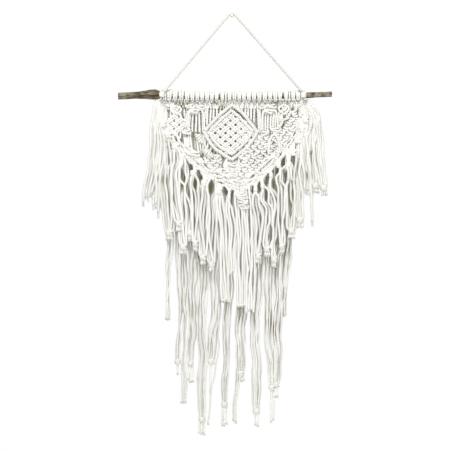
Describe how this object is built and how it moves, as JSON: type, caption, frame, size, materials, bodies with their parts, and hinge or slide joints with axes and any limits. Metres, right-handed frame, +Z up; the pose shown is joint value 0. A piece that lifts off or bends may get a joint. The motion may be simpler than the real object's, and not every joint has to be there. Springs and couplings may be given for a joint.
{
  "type": "macrame wall hanging on a branch",
  "caption": "V-shaped net of knotted cotton cord with a woven diamond and long knotted fringe, on a weathered branch that hangs by a cord from a wall pin.",
  "frame": {"origin": "middle of the wall pin's flat back, which lies on the wall", "axes": "+X to the right along the branch seen from the front, -Y out of the wall towards the viewer, +Z up"},
  "size_m": [0.429, 0.0356, 0.8472],
  "materials": {
    "cotton_cord": "twisted natural cotton, matt",
    "bark": "weathered bark, matt",
    "white_plastic": "smooth"
  },
  "bodies": {
    "root": {"wall_pin": "white_plastic", "branch": "bark", "hanger": "cotton_cord", "tie_left": "cotton_cord", "tie_right": "cotton_cord", "panel": "cotton_cord", "fringe_front": "cotton_cord", "fringe_back": "cotton_cord"}
  },
  "joints": []
}
